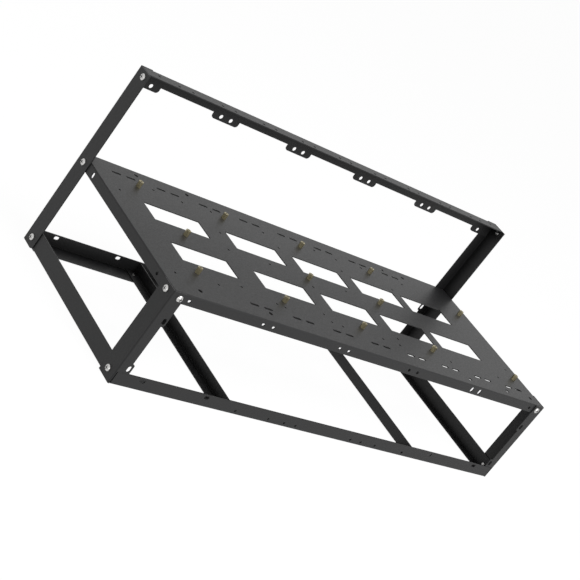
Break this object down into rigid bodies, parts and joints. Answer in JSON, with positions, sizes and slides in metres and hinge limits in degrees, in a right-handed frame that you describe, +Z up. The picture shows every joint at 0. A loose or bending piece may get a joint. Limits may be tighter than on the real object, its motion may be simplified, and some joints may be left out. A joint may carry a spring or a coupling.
{
  "type": "mining rig frame",
  "caption": "Open steel frame of folded black angles with a perforated shelf and a rear top rail, made to carry a row of graphics cards, a mainboard and fans.",
  "frame": {"origin": "middle of the base, on the floor", "axes": "+X along the length to the right, +Y from the front to the rear with the top rail, +Z up"},
  "size_m": [0.6406, 0.2506, 0.236],
  "materials": {
    "black_coat": "matte black powder coat with a fine grain",
    "zinc": "bright zinc plate",
    "brass": "dull machined brass"
  },
  "bodies": {
    "root": {"base_front_rail": "black_coat", "base_rear_rail": "black_coat", "base_left_rail": "black_coat", "base_right_rail": "black_coat", "left_cross_rail": "black_coat", "right_cross_rail": "black_coat", "front_left_post": "black_coat", "front_right_post": "black_coat", "rear_left_upright": "black_coat", "rear_right_upright": "black_coat", "shelf": "black_coat", "top_rail": "black_coat", "left_post_screws": "zinc", "right_post_screws": "zinc", "left_upright_screws": "zinc", "right_upright_screws": "zinc", "front_flange_screws": "zinc", "rear_flange_screws": "zinc", "base_front_screws": "zinc", "base_rear_screws": "zinc", "standoff_rear_1": "brass", "standoff_rear_2": "brass", "standoff_rear_3": "brass", "standoff_rear_4": "brass", "standoff_middle_1": "brass", "standoff_middle_2": "brass", "standoff_middle_3": "brass", "standoff_front_1": "brass", "standoff_front_2": "brass", "standoff_front_3": "brass", "standoff_front_4": "brass", "standoff_edge_1": "brass", "standoff_edge_2": "brass"}
  },
  "joints": []
}
